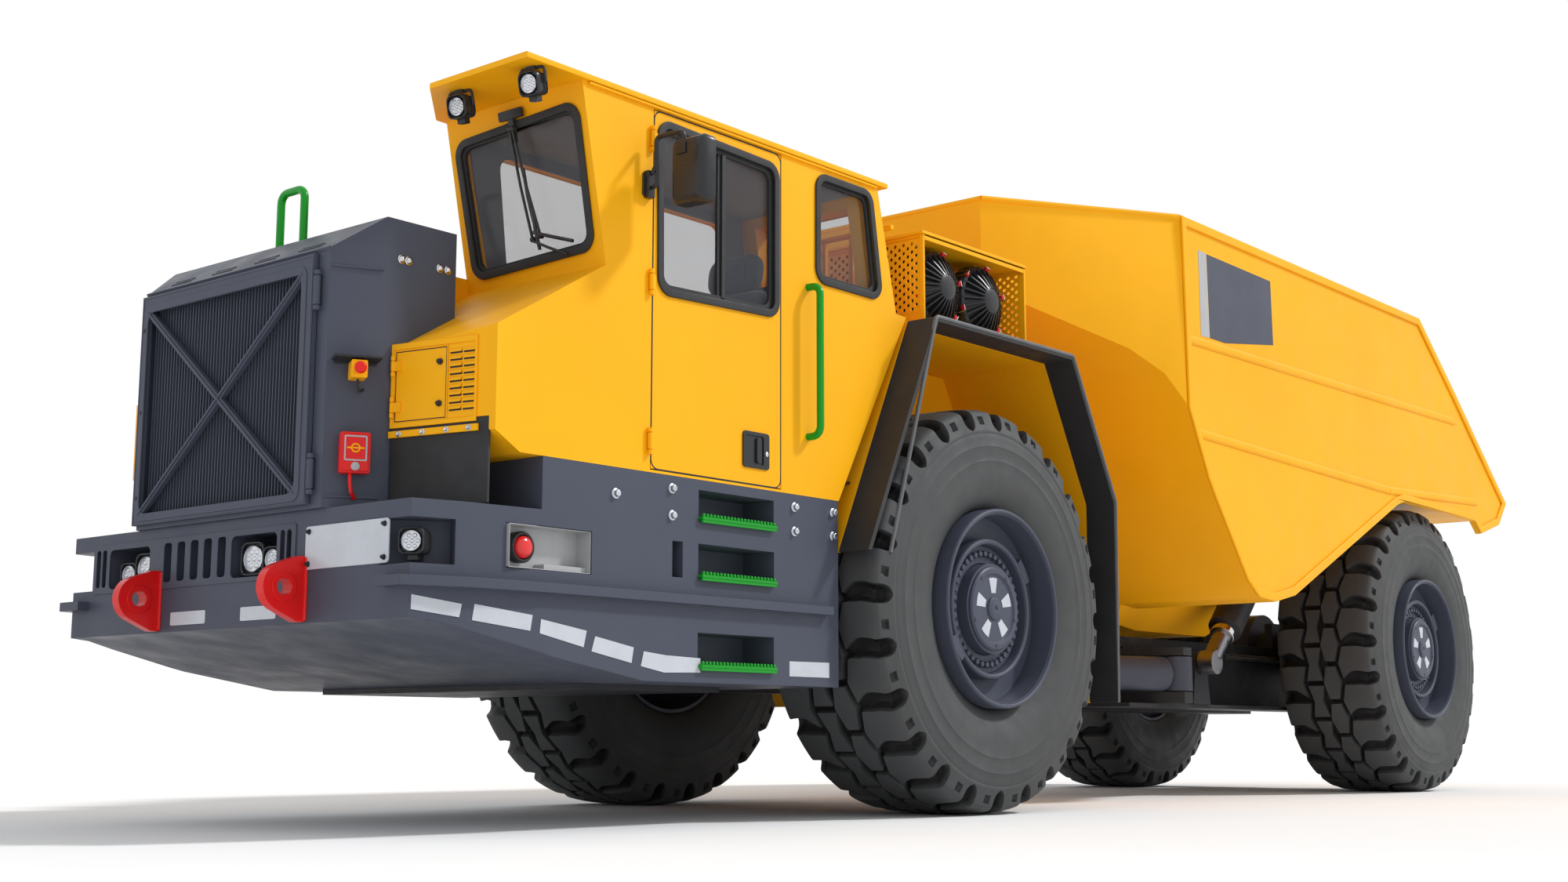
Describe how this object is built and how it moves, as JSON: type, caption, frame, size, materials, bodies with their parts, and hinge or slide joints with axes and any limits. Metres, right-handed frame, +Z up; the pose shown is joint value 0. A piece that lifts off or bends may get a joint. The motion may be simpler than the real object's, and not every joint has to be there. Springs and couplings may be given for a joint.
{
  "type": "articulated underground mining truck",
  "caption": "Low articulated haul truck for underground mines, with side cab, slanted nose frame, tipping ore box and four lugged wheels.",
  "frame": {"origin": "on the ground under the middle of the truck", "axes": "+X forward, +Y to the side of the cab, +Z up"},
  "size_m": [11.076, 3.17, 3.508],
  "materials": {
    "black_paint": "satin",
    "black_plastic": "satin",
    "chrome": "polished",
    "glass": "clear",
    "green_paint": "gloss",
    "lamp_silver": "polished",
    "red_paint": "gloss",
    "rubber": "matte",
    "seat_cloth": "woven",
    "slate_paint": "satin",
    "tyre": "matte",
    "yellow_paint": "gloss"
  },
  "bodies": {
    "front": {"front_frame": "slate_paint", "tow_lugs": "red_paint", "cowl": "slate_paint", "radiator": "black_paint", "engine_block": "slate_paint", "engine_hood": "yellow_paint", "cab_shell": "yellow_paint", "cab_roof": "yellow_paint", "cab_glass": "glass", "window_seals": "rubber", "seat": "seat_cloth", "console": "slate_paint", "mudflaps": "rubber", "step_treads": "green_paint", "lamps": "lamp_silver", "side_mirror": "black_paint", "grab_rails": "green_paint", "safety_boxes": "red_paint", "fenders": "yellow_paint", "air_box": "yellow_paint", "air_filters": "black_plastic", "front_chassis": "black_paint", "front_axle": "slate_paint"},
    "radiator_door": {"radiator_door": "slate_paint"},
    "cab_door": {"cab_door": "yellow_paint", "door_glass": "glass", "door_seal": "rubber"},
    "cabinet_door": {"cabinet_door": "yellow_paint"},
    "rear": {"rear_frame": "black_paint", "rear_axle": "slate_paint"},
    "bed": {"dump_box": "yellow_paint"},
    "hoist_barrel": {"hoist_barrels": "black_paint"},
    "hoist_sleeve": {"hoist_sleeves": "chrome"},
    "hoist_rod": {"hoist_rods": "chrome"},
    "steer_barrel_left": {"steer_barrel_left": "slate_paint"},
    "steer_barrel_right": {"steer_barrel_right": "slate_paint"},
    "steer_rod_left": {"steer_rod_left": "chrome"},
    "steer_rod_right": {"steer_rod_right": "chrome"},
    "wheel_front_left": {"tyre_front_left": "tyre", "rim_front_left": "slate_paint"},
    "wheel_front_right": {"tyre_front_right": "tyre", "rim_front_right": "slate_paint"},
    "wheel_rear_left": {"tyre_rear_left": "tyre", "rim_rear_left": "slate_paint"},
    "wheel_rear_right": {"tyre_rear_right": "tyre", "rim_rear_right": "slate_paint"}
  },
  "joints": [
    {"name": "steering", "type": "hinge", "parent": "front", "child": "rear", "pos_m": [-0.346, 0, 0.96], "axis": [0, 0, 1], "range_deg": [-42, 42]},
    {"name": "bed_tip", "type": "hinge", "parent": "rear", "child": "bed", "pos_m": [-4.566, 0, 1.42], "axis": [0, -1, 0], "range_deg": [0, 65]},
    {"name": "hoist_swing", "type": "hinge", "parent": "bed", "child": "hoist_barrel", "pos_m": [-2.976, 0, 2.03], "axis": [0, -1, 0], "range_deg": [-66, 1]},
    {"name": "hoist_stage_1", "type": "slide", "parent": "hoist_barrel", "child": "hoist_sleeve", "axis": [0.7117, 0, -0.7025], "range_m": [0, 0.93]},
    {"name": "hoist_stage_2", "type": "slide", "parent": "hoist_sleeve", "child": "hoist_rod", "axis": [0.7117, 0, -0.7025], "range_m": [0, 0.93]},
    {"name": "cab_door_hinge", "type": "hinge", "parent": "front", "child": "cab_door", "pos_m": [4.154, 1.303, 2.3], "axis": [0, 0, -1], "range_deg": [0, 60]},
    {"name": "radiator_door_hinge", "type": "hinge", "parent": "front", "child": "radiator_door", "pos_m": [5.376, 0.606, 1.8], "axis": [0, 0, 1], "range_deg": [0, 100]},
    {"name": "cabinet_door_hinge", "type": "hinge", "parent": "front", "child": "cabinet_door", "pos_m": [5.12621, 0.78863, 1.78], "axis": [0, 0, -1], "range_deg": [0, 75]},
    {"name": "steer_swing_left", "type": "hinge", "parent": "rear", "child": "steer_barrel_left", "pos_m": [-1.356, 0.8, 0.8], "axis": [0, 0, 1], "range_deg": [-3, 3]},
    {"name": "steer_stroke_left", "type": "slide", "parent": "steer_barrel_left", "child": "steer_rod_left", "axis": [0.9398, -0.3417, 0], "range_m": [-0.3, 0.3]},
    {"name": "steer_swing_right", "type": "hinge", "parent": "rear", "child": "steer_barrel_right", "pos_m": [-1.356, -0.8, 0.8], "axis": [0, 0, 1], "range_deg": [-3, 3]},
    {"name": "steer_stroke_right", "type": "slide", "parent": "steer_barrel_right", "child": "steer_rod_right", "axis": [0.9398, 0.3417, 0], "range_m": [-0.3, 0.3]},
    {"name": "spin_front_left", "type": "hinge", "parent": "front", "child": "wheel_front_left", "pos_m": [1.754, 1.1115, 1.0375], "axis": [0, 1, 0], "continuous": true},
    {"name": "spin_front_right", "type": "hinge", "parent": "front", "child": "wheel_front_right", "pos_m": [1.754, -1.1115, 1.0375], "axis": [0, 1, 0], "continuous": true},
    {"name": "spin_rear_left", "type": "hinge", "parent": "rear", "child": "wheel_rear_left", "pos_m": [-3.926, 1.1115, 1.0375], "axis": [0, 1, 0], "continuous": true},
    {"name": "spin_rear_right", "type": "hinge", "parent": "rear", "child": "wheel_rear_right", "pos_m": [-3.926, -1.1115, 1.0375], "axis": [0, 1, 0], "continuous": true}
  ],
  "couplings": [
    {"joint": "hoist_swing", "follows": "bed_tip", "ratio": -0.954},
    {"joint": "hoist_stage_1", "follows": "bed_tip", "m_per_rad": 0.814},
    {"joint": "hoist_stage_2", "follows": "bed_tip", "m_per_rad": 0.814},
    {"joint": "steer_swing_left", "follows": "steering", "ratio": -0.05},
    {"joint": "steer_stroke_left", "follows": "steering", "m_per_rad": 0.4},
    {"joint": "steer_swing_right", "follows": "steering", "ratio": -0.05},
    {"joint": "steer_stroke_right", "follows": "steering", "m_per_rad": -0.4}
  ]
}
